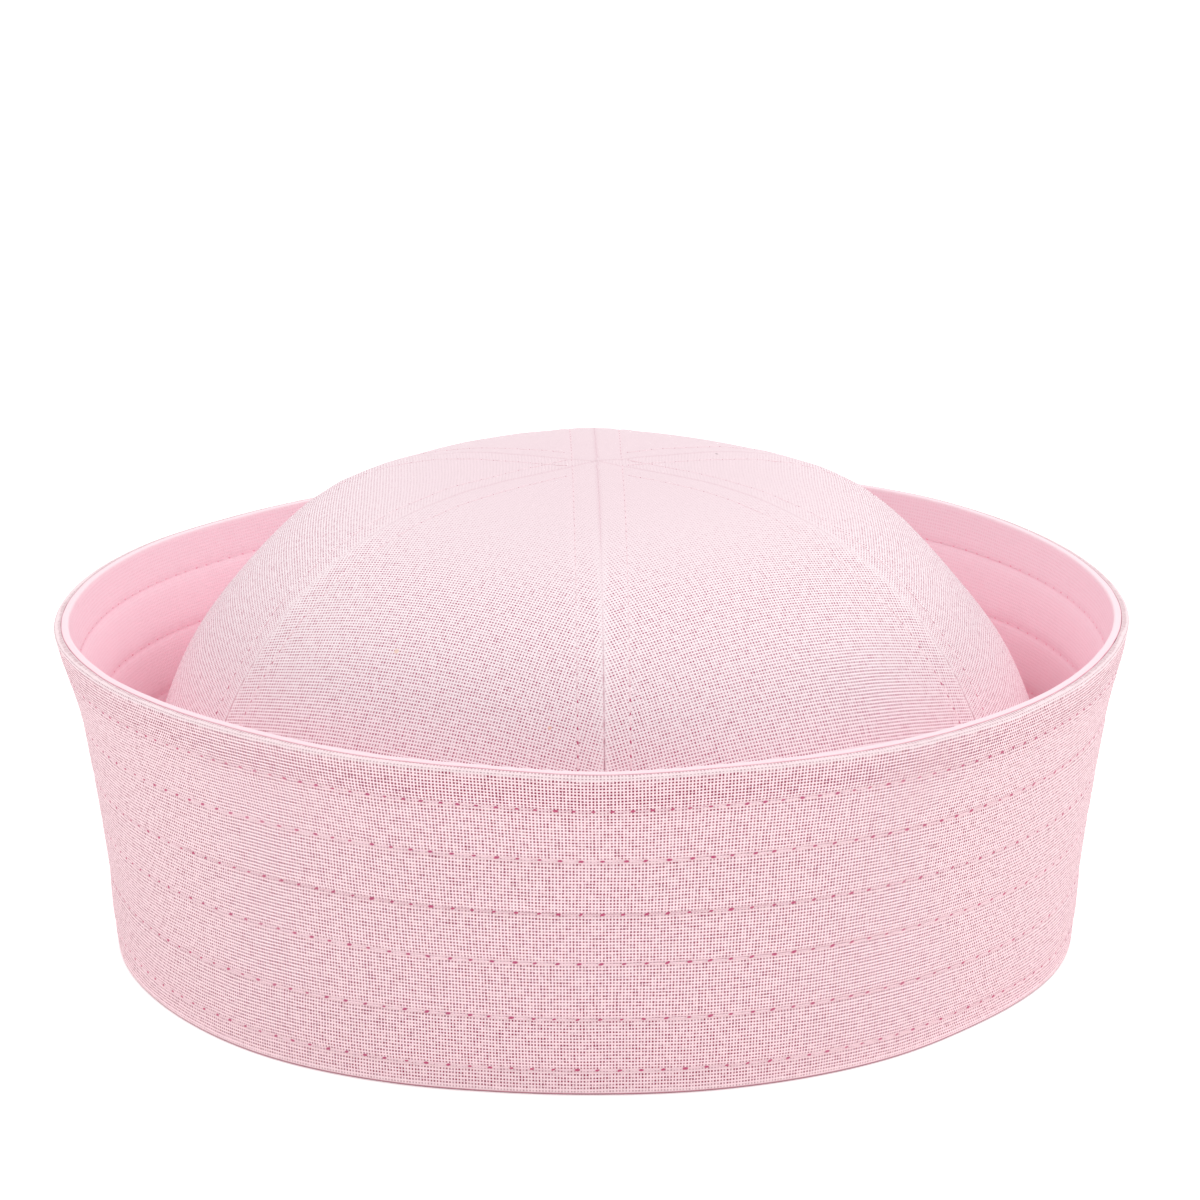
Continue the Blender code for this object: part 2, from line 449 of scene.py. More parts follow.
        # A painted highlight pales the threads toward the highlighted colour.
        pale_highlight = add_node(tree, "ShaderNodeAttribute", {"attribute_name": PALE_HIGHLIGHT}, {}).outputs["Fac"]
        thread = add_node(
            tree, "ShaderNodeMix", {"data_type": "RGBA"},
            {0: pale_highlight, 6: linear(self.thread), 7: linear(self.highlighted)},
        ).outputs[2]
        colour = add_node(
            tree, "ShaderNodeMix", {"data_type": "RGBA"},
            {0: depth.outputs[0], 6: thread, 7: linear(self.shade)},
        ).outputs[2]
        for fleck in self.flecks:
            colour = self.spotted(tree, colour, fleck)
        tree.links.new(colour, shader.inputs["Base Color"])
        bump = add_node(
            tree, "ShaderNodeBump", {},
            {"Height": height, "Strength": 0.7, "Distance": self.relief},
        )
        tree.links.new(bump.outputs[0], shader.inputs["Normal"])
        shader.inputs["Roughness"].default_value = 0.88
        shader.inputs["Specular IOR Level"].default_value = 0.25
        shader.inputs["Sheen Weight"].default_value = 0.15
        shader.inputs["Sheen Roughness"].default_value = 0.45
        shader.inputs["Sheen Tint"].default_value = linear("ffeef2")
        return material

    def spotted(self, tree: Any, colour: Any, fleck: Fleck) -> Any:
        """Lays a fleck over a colour.

        Args:
            tree: The material's node tree.
            colour: The colour so far.
            fleck: The spot.

        Returns:
            The colour with the spot in it.
        """
        place = add_node(tree, "ShaderNodeTexCoord", {}, {}).outputs["Object"]
        away = add_node(
            tree, "ShaderNodeVectorMath", {"operation": "DISTANCE"}, {0: place, 1: fleck.place}
        )
        share = add_node(
            tree, "ShaderNodeMapRange", {"interpolation_type": "SMOOTHSTEP"},
            {
                "Value": away.outputs["Value"],
                "From Min": fleck.radius * 0.5,
                "From Max": fleck.radius,
                "To Min": 1.0,
                "To Max": 0.0,
            },
        )
        mixed = add_node(
            tree, "ShaderNodeMix", {"data_type": "RGBA"},
            {0: share.outputs[0], 6: colour, 7: linear(fleck.colour)},
        )
        return mixed.outputs[2]


@dataclass(frozen=True)
class SpunThread:
    """Spun polyester-cotton sewing thread, twisted: a pale line with a fine slanting grain."""

    name: str
    light: str
    dark: str
    twist: float = 0.0003  # from turn to turn

    def build(self) -> bpy.types.Material:
        """Makes the material.

        Returns:
            The finished material.
        """
        material = bpy.data.materials.new(self.name)
        material.use_nodes = True
        tree = material.node_tree
        shader = tree.nodes["Principled BSDF"]
        place = add_node(tree, "ShaderNodeTexCoord", {}, {}).outputs["Object"]
        grain = add_node(
            tree, "ShaderNodeTexNoise", {}, {"Vector": place, "Scale": 1 / self.twist, "Detail": 1.0}
        )
        colour = add_node(
            tree, "ShaderNodeMix", {"data_type": "RGBA"},
            {0: grain.outputs["Fac"], 6: linear(self.light), 7: linear(self.dark)},
        )
        tree.links.new(colour.outputs[2], shader.inputs["Base Color"])
        bump = add_node(
            tree, "ShaderNodeBump", {},
            {"Height": grain.outputs["Fac"], "Strength": 0.5, "Distance": 0.0001},
        )
        tree.links.new(bump.outputs[0], shader.inputs["Normal"])
        shader.inputs["Roughness"].default_value = 0.8
        shader.inputs["Sheen Weight"].default_value = 0.2
        return material


@dataclass(frozen=True)
class CapShape:
    """The form of the cap: the same sizes and lines that its solids were cut from."""

    head_width: float = 0.182
    crown_height: float = 0.0975
    crown_cloth: float = 0.0011
    brim_height: float = 0.0666
    brim_spread: float = 0.0102
    brim_cloth: float = 0.0014
    gore_count: int = 6
    gore_sag: float = 0.003
    tip_radius: float = 0.00012  # where the gores meet at the apex
    seam_gap: float = 0.0003
    ply_gap: float = 0.0003
    foot_gap: float = 0.0005
    front: float = 271.0  # azimuth of the front seam

    @property
    def crown_foot(self) -> float:
        """The crown's radius at the foot, outside."""
        return self.head_width / 2 + self.crown_cloth

    @property
    def brim_foot(self) -> float:
        """The brim's radius at the foot, outside."""
        return self.crown_foot + self.foot_gap + 2 * self.brim_cloth + self.ply_gap

    @property
    def gore_angle(self) -> float:
        """The angle that one gore takes, in degrees."""
        return TURN / self.gore_count

    def foot_push(self, azimuth: np.ndarray, height: np.ndarray) -> np.ndarray:
        """How far the ring stands out at a height because its foot isn't round."""
        share = np.minimum(height / self.brim_height, 1.0)
        return eased(WAVES_ROUND, azimuth % TURN, 3) * self.brim_spread * (1 - share) ** 2

    def crown_profile(self) -> np.ndarray:
        """Draws the crown's outer line along a seam.

        Returns:
            Its reaches and heights, from the foot to the tip.
        """
        corners = CROWN_SECTIONS[:, (1, 0)] * (self.crown_foot, self.crown_height)
        corners[-1] = (self.tip_radius, self.crown_height)
        return smooth_line(corners)

    def crown_point(self, azimuth: np.ndarray, travel: np.ndarray) -> np.ndarray:
        """Points of the crown's outer face.

        Args:
            azimuth: Their azimuths in degrees.
            travel: Their distances from the foot along the profile.

        Returns:
            The points, with no relief on them.
        """
        line = self.crown_profile()
        along = travel_along(line)
        reach, height = np.moveaxis(read_line(travel, along, line), -1, 0)
        share = height / self.crown_height
        from_seam = (azimuth - self.front) % self.gore_angle
        across = from_seam / self.gore_angle * 2 - 1
        reach = reach - self.gore_sag * eased(CROWN_SECTIONS, share, 2) * (1 - across**2)
        reach = np.maximum(reach, self.tip_radius)
        shrink = 1 - self.hollow_depth(azimuth, share)
        return placed(azimuth, reach * shrink + self.foot_push(azimuth, height), height * shrink)

    def hollow_depth(self, azimuth: np.ndarray, share: np.ndarray) -> np.ndarray:
        """How deep the shallow hollows lie.

        Args:
            azimuth: Azimuths in degrees.
            share: Heights as shares of the crown's.

        Returns:
            The depths, as shares of the crown's height.
        """
        depth = np.zeros(np.broadcast(azimuth, share).shape)
        for middle, height, half_width, half_height, deepest in HOLLOWS:
            turn = (azimuth - middle + 180) % TURN - 180
            depth += deepest * bell(turn, half_width) * bell(share - height, half_height)
        return depth

    def brim_line(self, depth: float) -> np.ndarray:
        """Draws a line of the brim's section.

        Args:
            depth: How far in from the brim's outer face it lies.

        Returns:
            Its reaches and heights, from the foot to the fold of the rim.
        """
        top = self.brim_height - self.brim_cloth / 2
        corners = BRIM_SECTIONS[:, (1, 0)] * (self.brim_spread, top) + (self.brim_foot, 0.0)
        face = smooth_line(corners)
        rise = unit(np.gradient(face, axis=0))
        side = np.stack([-rise[:, 1], rise[:, 0]], axis=1)
        side[0] = (-1.0, 0.0)
        return face + side * depth

    def brim_point(self, azimuth: np.ndarray, reach: np.ndarray, height: np.ndarray) -> np.ndarray:
        """Turns a place of the brim's section at an azimuth into a point of the eased ring.

        Args:
            azimuth: Azimuths in degrees.
            reach: Distances from the axis in the true section.
            height: Heights in the true section.

        Returns:
            The points.
        """
        share = height / self.brim_height
        lift = eased(WAVES_ROUND, azimuth % TURN, 1)
        spread = eased(WAVES_ROUND, azimuth % TURN, 2) * self.brim_spread * share**2
        reach = reach + spread + self.foot_push(azimuth, height)
        return placed(azimuth, reach, height * (1 + lift * share))


SHAPE = CapShape()


def lay_grid(name: str, columns: int, rows: int) -> bpy.types.Object:
    """Lays out a flat grid of squares to be shaped into a sheet.

    Args:
        name: The piece's name.
        columns: How many squares it has across.
        rows: How many it has along.

    Returns:
        The new object.
    """
    bpy.ops.object.select_all(action="DESELECT")
    bpy.ops.mesh.primitive_grid_add(x_subdivisions=columns, y_subdivisions=rows, size=2)
    sheet = bpy.context.object
    sheet.name = sheet.data.name = name
    return sheet


def shape_grid(
    sheet: bpy.types.Object, points: np.ndarray, cloth: np.ndarray, shares: dict[str, np.ndarray]
) -> None:
    """Moves the vertices of a flat grid to their places, and lays the cloth's own map on it.

    Args:
        sheet: The grid.
        points: Where each vertex goes, by row and column.
        cloth: Where each lies in the flat cloth, in metres, by row and column.
        shares: Further values of each, by the attribute they go in.
    """
    mesh = sheet.data
    flat = np.empty(len(mesh.vertices) * 3)
    mesh.vertices.foreach_get("co", flat)
    flat = flat.reshape(-1, 3)
    rows, columns = points.shape[0] - 1, points.shape[1] - 1
    column = np.rint((flat[:, 0] + 1) / 2 * columns).astype(int)
    row = np.rint((flat[:, 1] + 1) / 2 * rows).astype(int)
    mesh.vertices.foreach_set("co", points[row, column].ravel())
    corners = np.empty(len(mesh.loops), dtype=int)
    mesh.loops.foreach_get("vertex_index", corners)
    for old in list(mesh.uv_layers):
        mesh.uv_layers.remove(old)
    layer = mesh.uv_layers.new(name=CLOTH_MAP)
    layer.data.foreach_set("uv", cloth[row[corners], column[corners]].ravel())
    for name, values in shares.items():
        layer = mesh.attributes.new(name, "FLOAT", "POINT")
        layer.data.foreach_set("value", np.broadcast_to(values, points.shape[:2])[row, column])
    mesh.update()


def finish_mesh(piece: bpy.types.Object, *materials: bpy.types.Material, angle: float = 60.0) -> None:
    """Smooths a piece's faces and gives it its materials.

    Args:
        piece: The piece.
        materials: Its materials, in the order of their numbers.
        angle: The widest angle between faces that is smoothed, in degrees.
    """
    bpy.ops.object.select_all(action="DESELECT")
    piece.select_set(True)
    bpy.context.view_layer.objects.active = piece
    bpy.ops.object.shade_smooth_by_angle(angle=math.radians(angle))
    piece.data.materials.clear()
    for material in materials:
        piece.data.materials.append(material)


@dataclass
class StitchRow:
    """A row of machine stitches: where its thread shows, and the needle holes between."""

    path: np.ndarray  # points on the cloth, close together
    facing: np.ndarray  # the way the cloth faces at each
    pitch: float
    seed: int
    slant: float = 10.0
    thread: float = 0.00030
    hole: float = 0.00105
    closing: tuple[float, float] = (1.0, 2.0)  # heights between which the needle holes close up

    HOLE_WIDTH = 0.48  # as a share of its length
    HOLE_DEPTH = 0.06 * MM  # how far its shaded patch bulges out of the cloth
    THREAD_DEPTH = 0.42  # half a thread's thickness, as a share of its width
    THREAD_LIFT = 0.1  # how far its middle lies above the cloth, as a share of its width
    LONGEST = 1.8  # a stitch that would be longer than so many pitches is left out

    def frames(self) -> tuple[np.ndarray, np.ndarray, np.ndarray, np.ndarray]:
        """Places the stitches.

        Returns:
            The needle holes' points, and the directions along, across and out of the cloth there.
        """
        along = travel_along(self.path)
        count = max(int(round(along[-1] / self.pitch)), 1)
        random = np.random.default_rng(self.seed)
        # No needle hole lies quite where an even pitch would have it.
        stops = (np.arange(count) + 0.5) * along[-1] / count
        stops = stops + random.normal(scale=0.04 * self.pitch, size=count)
        points = read_line(stops, along, self.path)
        outward = unit(read_line(stops, along, self.facing))
        ahead = np.gradient(points, axis=0)
        ahead = unit(ahead - (ahead * outward).sum(axis=1, keepdims=True) * outward)
        return points, ahead, np.cross(outward, ahead), outward


Grain = tuple[np.ndarray, list[list[int]]]  # vertices and faces of a little closed form


def grain_template(segments: int, rings: int) -> Grain:
    """A little closed grain, one unit in radius, to be stretched into a stitch or a needle hole.

    Args:
        segments: How many sides it has round its length.
        rings: How many faces it has from end to end.

    Returns:
        The grain, with its length along X.
    """
    bpy.ops.object.select_all(action="DESELECT")
    bpy.ops.mesh.primitive_uv_sphere_add(
        segments=segments, ring_count=rings, radius=1, rotation=(0, math.pi / 2, 0)
    )
    grain = bpy.context.object
    bpy.ops.object.transform_apply(location=False, rotation=True, scale=False)
    points = np.array([corner.co[:] for corner in grain.data.vertices])
    # A ball's faces come in another order each run, so they are sorted.
    faces = sorted(list(face.vertices) for face in grain.data.polygons)
    bpy.data.objects.remove(grain)
    return points, faces


@dataclass
class Stitching:
    """Threads and needle holes, gathered to become one mesh."""

    grains: tuple[Grain, Grain]  # the forms of a thread and of a needle hole
    points: list[np.ndarray] = field(default_factory=list)
    faces: list[list[int]] = field(default_factory=list)
    kinds: list[int] = field(default_factory=list)
    count: int = 0

    THREAD = 0
    HOLE = 1

    def add(self, kind: int, place: np.ndarray, axes: list[np.ndarray]) -> None:
        """Adds a thread or a needle hole.

        Args:
            kind: Which of the two it is.
            place: Its middle.
            axes: Its radii along, across and out of the cloth.
        """
        points, faces = self.grains[kind]
        self.points.append(place + points @ np.array(axes))
        self.faces += [[self.count + corner for corner in face] for face in faces]
        self.kinds += [kind] * len(faces)
        self.count += len(points)

    def follow(self, row: StitchRow) -> None:
        """Adds a row's needle holes, and the threads that run from each to the next.

        Args:
            row: The row.
        """
        place, ahead, across, outward = row.frames()
        random = np.random.default_rng(row.seed + 1)
        for index, point in enumerate(place):
            turn = math.radians(row.slant + random.normal(scale=8))
            slanted = ahead[index] * math.cos(turn) + across[index] * math.sin(turn)
            beside = np.cross(outward[index], slanted)
            drawn = float(step_down(point[2], *row.closing))
            size = row.hole / 2 * random.uniform(0.7, 1.15) * (0.3 + 0.7 * drawn)
            axes = [slanted * size, beside * size * row.HOLE_WIDTH, outward[index] * row.HOLE_DEPTH]
            self.add(self.HOLE, point, axes)
            if index + 1 == len(place):
                break
            span = place[index + 1] - point
            length = np.linalg.norm(span)
            if length > row.pitch * row.LONGEST:
                continue
            thread = row.thread * (0.55 + 0.45 * drawn)
            out = unit(outward[index] + outward[index + 1])
            way = span / length
            axes = [
                way * (length - row.hole * 0.5) / 2,
                np.cross(out, way) * thread / 2,
                out * thread * row.THREAD_DEPTH,
            ]
            middle = (point + place[index + 1]) / 2
            self.add(self.THREAD, middle + out * thread * row.THREAD_LIFT, axes)


def sew(name: str, rows: list[StitchRow], materials: list[bpy.types.Material]) -> bpy.types.Object:
    """Makes the threads and needle holes of some rows as one piece.

    Args:
        name: The piece's name.
        rows: The rows.
        materials: The thread's finish and the needle holes' painted shade.

    Returns:
        The piece.
    """
    stitching = Stitching((grain_template(6, 6), grain_template(8, 4)))
    for row in rows:
        stitching.follow(row)
    mesh = bpy.data.meshes.new(name)
    mesh.from_pydata(np.vstack(stitching.points).tolist(), [], stitching.faces)
    piece = bpy.data.objects.new(name, mesh)
    bpy.context.scene.collection.objects.link(piece)
    finish_mesh(piece, *materials, angle=80)
    mesh.polygons.foreach_set("material_index", stitching.kinds)
    mesh.update()
    return piece


@dataclass
class Crown:
    """The crown: six gores of cloth, seamed from the foot to the apex and topstitched."""

    cotton: bpy.types.Material
    thread: bpy.types.Material
    needle_hole: bpy.types.Material
    shift: np.ndarray
    rows: int = 150
    topstitch: float = 0.005  # from a seam to the row of stitches beside it
    allowance: float = 0.0062  # width of the cloth turned under beside a seam
    pitch: float = 0.00275

    # Distances from a gore's edge at which its columns of squares begin.
    EDGE_STEPS = np.array([
        0, 0.08, 0.2, 0.38, 0.65, 1.05, 1.7, 2.6, 3.5, 4.2, 4.65, 5.0, 5.35, 5.8, 6.5, 7.4, 8.6, 10.0
    ]) * MM
    MIDDLE_STEPS = 44
    NARROW = 0.014  # half width of a gore below which its columns crowd together
    PRESSED = 0.025  # share of the solids' seam gap that is left open
    CLOSING = (0.058, 0.088)  # heights over which the seams and the stitches draw in and close
    RIDGE = 0.15 * MM  # how far the cloth turned under beside a seam lifts the gore
    GROOVE = 0.20 * MM  # how deep the topstitching draws it in
    SWELL = 0.25 * MM
    PUCKER = 0.04 * MM
    SEAM_SWAY = 0.13 * MM  # how far a seam strays from its straight line near the apex
    PRICKED = 0.02 * MM  # how far above the cloth the needle holes are drawn
    FIRST_SEED = 100

    def seam_distance(self, points: np.ndarray, seam: int) -> tuple[np.ndarray, np.ndarray]:
        """How far points lie from the upright plane of a seam.

        Args:
            points: The points, about the cap's axis.
            seam: Which seam, counted from the front one.

        Returns:
            Their distances from the plane, and how far along the seam's own side they lie.
        """
        angle = math.radians(SHAPE.front + SHAPE.gore_angle * seam)
        ahead = points[..., 0] * math.cos(angle) + points[..., 1] * math.sin(angle)
        aside = points[..., 1] * math.cos(angle) - points[..., 0] * math.sin(angle)
        return aside, ahead

    def relief(self, points: np.ndarray) -> np.ndarray:
        """How far the cloth stands out from the smooth form, from its seams and stitching.

        Args:
            points: Points of the smooth form, about the cap's axis.

        Returns:
            The height of the relief at each.
        """
        ridge = np.zeros(points.shape[:-1])
        dip = np.zeros(points.shape[:-1])
        # The groove gets deeper and shallower about once a stitch.
        pull = 0.75 + 0.25 * np.cos(points[..., 2] * 1.15 * math.tau / self.pitch)
        for seam in range(SHAPE.gore_count):
            aside, ahead = self.seam_distance(points, seam)
            # The front and the back seam run on over the apex, the others stop short of it.
            through = seam % 3 == 0
            live = 1.0 if through else step_down(-ahead, -0.006, -0.004)
            away = np.where(ahead > (-0.012 if through else 0.002), np.abs(aside), 1.0)
            ridge = np.maximum(ridge, live * step_down(away, self.allowance - MM, self.allowance + 3 * MM))
            dip = np.maximum(dip, live * pull * bell(away - self.topstitch, 0.8 * MM))
        slow = ripple(points, 3, (0.030, 0.070)) * self.SWELL
        quick = ripple(points, 4, (0.006, 0.014)) * self.PUCKER
        return ridge * self.RIDGE - dip * self.GROOVE + slow + quick * (0.4 + ridge)

    def edge_drop(self, away: np.ndarray, height: np.ndarray) -> np.ndarray:
        """How far the cloth has turned in beside a gore's own edge.

        Args:
            away: Distances from the edge.
            height: Heights of the same places.

        Returns:
            How deep the cloth lies there below the smooth form.
        """
        radius = (0.05 + 0.29 * step_down(height, *self.CLOSING)) * MM
        inside = np.clip(radius - away, 0.0, radius)
        return radius - np.sqrt(radius**2 - inside**2)

    def seam_wave(self, index: int, travel: np.ndarray, from_left: np.ndarray) -> np.ndarray:
        """How far the cloth of a gore moves round the cap because its two seams aren't straight.

        Args:
            index: Which gore, from 0.
            travel: Distances from the foot along the profile, by row.
            from_left: Distances from the gore's left edge, by row and column.

        Returns:
            The distances to move, by row and column.
        """
        width = from_left[:, -1:]
        moved = np.zeros(from_left.shape)
        # The seams stray only near the apex, where the gore is narrow.
        live = step_down(width, 3 * MM, 12 * MM)
        for seam, away in ((index, from_left), (index + 1, width - from_left)):
            sway = ripple(travel[:, None], 40 + seam % SHAPE.gore_count, (0.0035, 0.012)) * self.SEAM_SWAY
            moved += sway[:, None] * live * step_down(away, 0.0, 3 * MM)
        return moved

    def cloth_place(self, offset: np.ndarray, travel: np.ndarray) -> np.ndarray:
        """Where a point of a gore lies in the flat cloth that it was cut from.

        A thread that crosses the gore's middle line squarely runs on over the dome by the shortest
        way, so it falls away to both sides.

        Args:
            offset: Azimuths from the gore's middle, in degrees.
            travel: Distances from the foot along the profile.

        Returns:
            The places across and along the cloth, in metres.
        """
        line = SHAPE.crown_profile()
        along = travel_along(line)
        # The dome is taken for a ball about this height, with a radius that changes with latitude.
        centre = 0.15 * SHAPE.crown_height
        latitude = np.arctan2(line[:, 1] - centre, line[:, 0])
        own = np.interp(travel, along, latitude)
        reach = np.interp(travel, along, np.hypot(line[:, 0], line[:, 1] - centre))
        turn = np.radians(offset)
        crossing = np.arctan2(np.sin(own), np.cos(own) * np.cos(turn))
        across = reach * np.arcsin(np.clip(np.cos(own) * np.sin(turn), -1, 1))
        return np.stack([across, np.interp(crossing, latitude, along)], axis=-1)

    def columns(self, reach: np.ndarray) -> tuple[np.ndarray, np.ndarray]:
        """Spreads a gore's columns of points over its width, closest beside its seams.

        Args:
            reach: The crown's radius, by row.

        Returns:
            The distances from the gore's left edge, by row and column, and its half width, by row.
        """
        # Sewn together, the gores nearly touch.
        gap = self.PRESSED * SHAPE.seam_gap
        side = math.radians(SHAPE.gore_angle / 2) - np.arcsin(np.minimum(gap / 2 / reach, 0.2))
        half_width = (side * reach)[:, None]
        left = self.EDGE_STEPS * np.minimum(half_width / self.NARROW, 1.0)
        right = 2 * half_width - left[:, ::-1]
        share = np.linspace(0, 1, self.MIDDLE_STEPS + 1)[1:-1]
        middle = left[:, -1:] + (right[:, :1] - left[:, -1:]) * share
        return np.hstack([left, middle, right]), half_width

    def openness_and_painted_light(self, base: np.ndarray, travel: np.ndarray, away: np.ndarray) -> dict[str, np.ndarray]:
        """How open a gore's cloth is, and where painted shade and painted highlight lie on it.

        Args:
            base: Its points on the smooth form, by row and column.
            travel: Their distances from the foot along the profile.
            away: Their distances from the nearer seam.

        Returns:
            The shares, by the attribute that they go in.
        """
        height = base[..., 2]
        packed = 1 - 0.6 * bell(away, 0.9 * MM) - 0.35 * bell(away - self.topstitch, 0.5 * MM)
        # The flat top is packed close and shows no open holes; painted shade darkens it a little all over.
        # Near the foot the holes are fainter, painted light against the brim's shade.
        top = step_down(-height, -SHAPE.crown_height, -0.86 * SHAPE.crown_height)
        packed *= 1 - 0.8 * top - 0.12 * step_down(height, 0.02, 0.07)
        drawn_in = 0.2 + 0.8 * step_down(height, *self.CLOSING)
        uneven = 0.7 + 0.5 * ripple(travel[..., None], 50, (0.001, 0.004))
        # Painted shade lies in a line along each seam, and in a faint, wider line near the apex.
        seam_line = 0.7 * bell(away, 0.20 * MM) * uneven * drawn_in
        faint_line = 0.10 * bell(away, 0.45 * MM) * (1 - drawn_in)
        return {
            OPENNESS: packed,
            PAINTED_SHADE: np.maximum(seam_line, 0.23 * top + faint_line),
            # A painted highlight lies on a strip beside each seam.
            PALE_HIGHLIGHT: 0.4 * bell(away - 0.7 * MM, 0.5 * MM) * drawn_in,
        }

    def gore(self, index: int) -> bpy.types.Object:
        """Builds one gore.

        Args:
            index: Which gore, from 0, the first to the right of the front seam.

        Returns:
            The piece.
        """
        line = SHAPE.crown_profile()
        along = travel_along(line)
        travel = np.linspace(0.0, along[-1], self.rows + 1)
        reach = np.interp(travel, along, line[:, 0])
        from_left, half_width = self.columns(reach)
        away = np.minimum(from_left, 2 * half_width - from_left)
        offset = np.degrees((from_left - half_width) / reach[:, None])
        moved = np.degrees(self.seam_wave(index, travel, from_left) / reach[:, None])
        grid_travel = np.broadcast_to(travel[:, None], offset.shape)
        middle = SHAPE.front + SHAPE.gore_angle * (index + 0.5)
        # The gore is a hair narrower than its angle, so that no edge lies right on a seam.
        base = SHAPE.crown_point(middle + offset * 0.99999 + moved, grid_travel)
        # Near the apex every gore faces straight up.
        lean = step_down(reach, 0.0005, 0.004)[:, None, None]
        facing = unit(sheet_facing(base) * (1 - lean) + np.array([0.0, 0.0, 1.0]) * lean)
        height = self.relief(base) - self.edge_drop(away, base[..., 2])
        # The foot is sewn to the brim: it leans out and meets it.
        foot = step_down(travel, 0.0012, 0.0032)[:, None]
        height = height * (1 - foot) + 1.1 * SHAPE.foot_gap * foot
        points = base + facing * height[..., None]
        # Its edge is level, a hair above the floor.
        points[0, :, 2] = 0.05 * MM
        sheet = lay_grid(f"gore_{index + 1}_cloth", offset.shape[1] - 1, self.rows)
        cloth = self.cloth_place(offset, grid_travel)
        shape_grid(sheet, points + self.shift, cloth, self.openness_and_painted_light(base, grid_travel, away))
        bpy.ops.object.modifier_add(type="SOLIDIFY")
        wall = sheet.modifiers[-1]
        wall.thickness = SHAPE.crown_cloth - 0.2 * MM
        wall.offset = -1
        bpy.ops.object.modifier_apply(modifier=wall.name)
        finish_mesh(sheet, self.cotton)
        return sheet

    def row_path(self, seam: int, side: int) -> tuple[np.ndarray, np.ndarray]:
        """The path of a row of topstitching beside a seam, from the foot up to where it ends.

        Args:
            seam: Which seam, counted from the front one.
            side: -1 or 1, the side of the seam.

        Returns:
            The azimuths and the distances from the foot of points along the row.
        """
        line = SHAPE.crown_profile()
        along = travel_along(line)
        travel = np.linspace(0.0025, along[-1], 900)
        reach = np.interp(travel, along, line[:, 0])
        turn = np.degrees(np.arcsin(np.minimum(self.topstitch / reach, 1.0)))
        azimuth = SHAPE.front + SHAPE.gore_angle * seam + side * turn
        # The front and the back rows run up to the apex, the others stop at those rows.
        from_front = np.abs(np.sin(np.radians(azimuth - SHAPE.front)))
        keep = reach * (from_front if seam % 3 else 1.0) > self.topstitch
        return azimuth[keep], travel[keep]

    def stitches(self) -> list[StitchRow]:
        """The rows of topstitching.

        Returns:
            The rows, each along its path on the cloth.
        """
        rows = []
        for seam in range(SHAPE.gore_count):
            for side in (-1, 1):
                azimuth, travel = self.row_path(seam, side)
                base = SHAPE.crown_point(azimuth, travel)
                beside = SHAPE.crown_point(azimuth + 0.5, travel)
                above = np.gradient(base, axis=0)
                facing = unit(np.cross(beside - base, above))
                path = base + facing * (self.relief(base) + self.PRICKED)[:, None] + self.shift
                seed = self.FIRST_SEED + seam * 2 + side
                rows.append(
                    StitchRow(path, facing, self.pitch, seed, slant=0, hole=0.0009, closing=self.CLOSING)
                )
        return rows

    def build(self) -> None:
        """Builds the gores and their stitching."""
        for index in range(SHAPE.gore_count):
            node = f"gore_{index + 1}"
            sheet = self.gore(index)
            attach(sheet, "root")
            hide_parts(node)
            LOG.info("%s: %d faces", sheet.name, len(sheet.data.polygons))
        stitching = sew("crown_stitching", self.stitches(), [self.thread, self.needle_hole])
        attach(stitching, "root")
        LOG.info("%s: %d faces", stitching.name, len(stitching.data.polygons))


